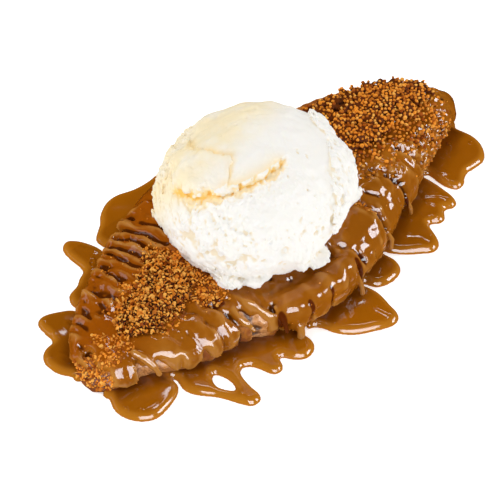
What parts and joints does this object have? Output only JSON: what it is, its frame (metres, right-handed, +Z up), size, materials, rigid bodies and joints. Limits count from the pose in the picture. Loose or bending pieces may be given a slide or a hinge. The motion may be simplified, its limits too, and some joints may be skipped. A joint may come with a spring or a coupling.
{
  "type": "croffle with ice cream",
  "caption": "Pressed croissant under poured caramel sauce, topped with a scoop of ice cream and biscuit crumbs, with pools of sauce round its foot.",
  "frame": {"origin": "middle of the pastry's flat base, on the surface it rests on", "axes": "+X along the pastry to its crumbed tip, +Y to its ribbed side, +Z up"},
  "size_m": [0.1633, 0.0996, 0.0534],
  "materials": {
    "pastry": "baked laminated dough, browned and flaky",
    "sauce": "thick glossy caramel sauce, poured",
    "ice_cream": "frozen cream, scooped and starting to melt",
    "crumb": "dry crushed biscuit"
  },
  "bodies": {
    "root": {"pastry": "pastry", "sauce_coat": "sauce", "ice_cream": "ice_cream", "crumbs_front": "crumb", "crumbs_rear": "crumb", "pool_far_left": "sauce", "pool_far_middle": "sauce", "pool_near_left": "sauce", "pool_near_middle": "sauce", "pool_near_right": "sauce", "pool_near_round": "sauce", "pool_tip_far": "sauce", "pool_tip_near": "sauce", "pool_tip_right": "sauce"}
  },
  "joints": []
}
